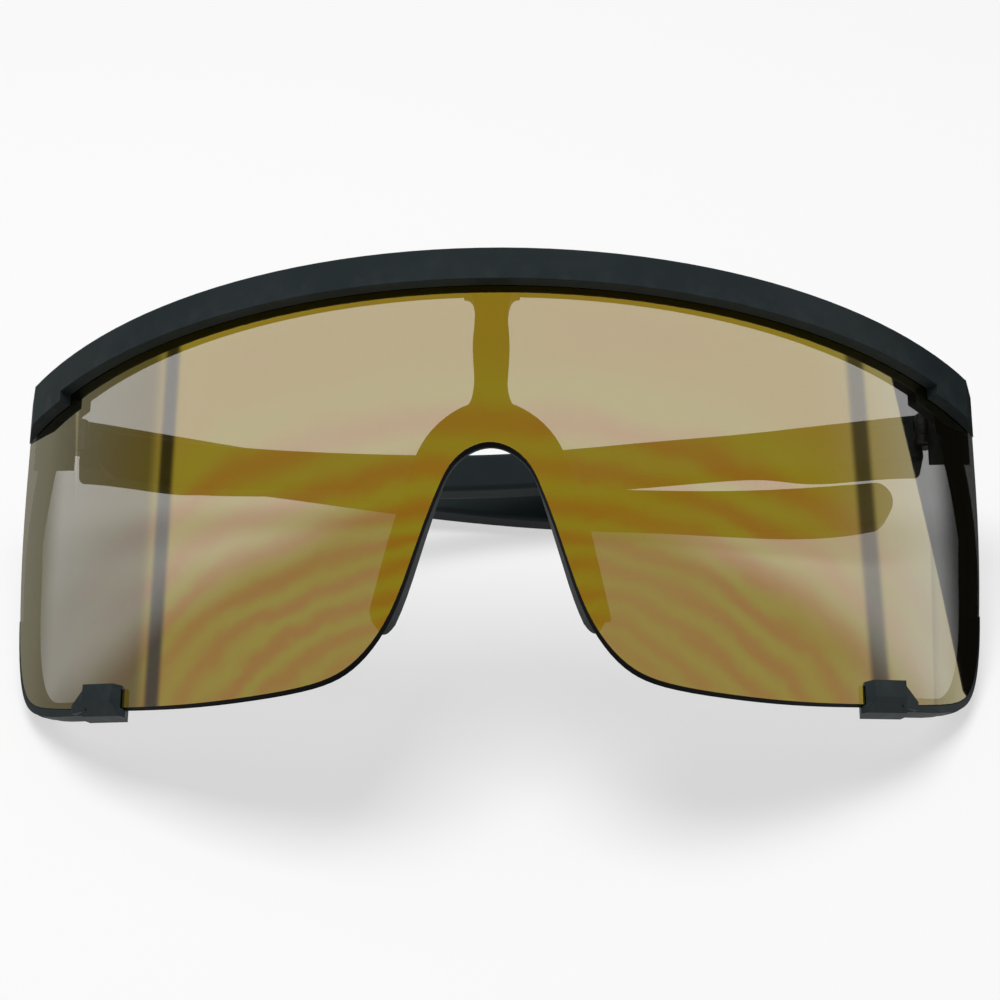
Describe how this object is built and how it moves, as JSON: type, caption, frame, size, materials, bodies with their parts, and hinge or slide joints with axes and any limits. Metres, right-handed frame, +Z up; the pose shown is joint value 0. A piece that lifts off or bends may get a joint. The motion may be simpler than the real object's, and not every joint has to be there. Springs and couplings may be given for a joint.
{
  "type": "shield sunglasses",
  "caption": "Folding shield sunglasses: a wide curved tinted lens hung under a thick brow bar, with hooked side rails, a padded nose arch and hinged temples.",
  "frame": {"origin": "middle of the box's underside, on the table that the folded glasses lie on", "axes": "+X along the front's width, to the right as seen from in front; +Z up from the table; -Y is the way the lens's lower edge points"},
  "size_m": [0.153, 0.091, 0.067],
  "materials": {
    "frame_plastic": "satin moulded black",
    "tinted_lens": "polished polycarbonate with a gold semi-mirror coat, denser towards the bottom",
    "soft_pad": "matt soft rubber",
    "hinge_metal": "black-plated steel"
  },
  "bodies": {
    "front": {"front_frame": "frame_plastic", "shield_lens": "tinted_lens", "nose_pad_right": "soft_pad", "nose_pad_left": "soft_pad", "front_hinge_leaf_right": "hinge_metal", "front_hinge_leaf_left": "hinge_metal", "hinge_screw_right": "hinge_metal", "hinge_screw_left": "hinge_metal"},
    "right_temple": {"temple_right": "frame_plastic", "temple_hinge_leaf_right": "hinge_metal"},
    "left_temple": {"temple_left": "frame_plastic", "temple_hinge_leaf_left": "hinge_metal"}
  },
  "joints": [
    {"name": "right_temple_hinge", "type": "hinge", "parent": "front", "child": "right_temple", "pos_m": [0.069, 0.03308, 0.02087], "axis": [0, -0.8523, -0.5231], "range_deg": [0, 90]},
    {"name": "left_temple_hinge", "type": "hinge", "parent": "front", "child": "left_temple", "pos_m": [-0.069, 0.03308, 0.02087], "axis": [0, 0.8523, 0.5231], "range_deg": [0, 81.5]}
  ]
}
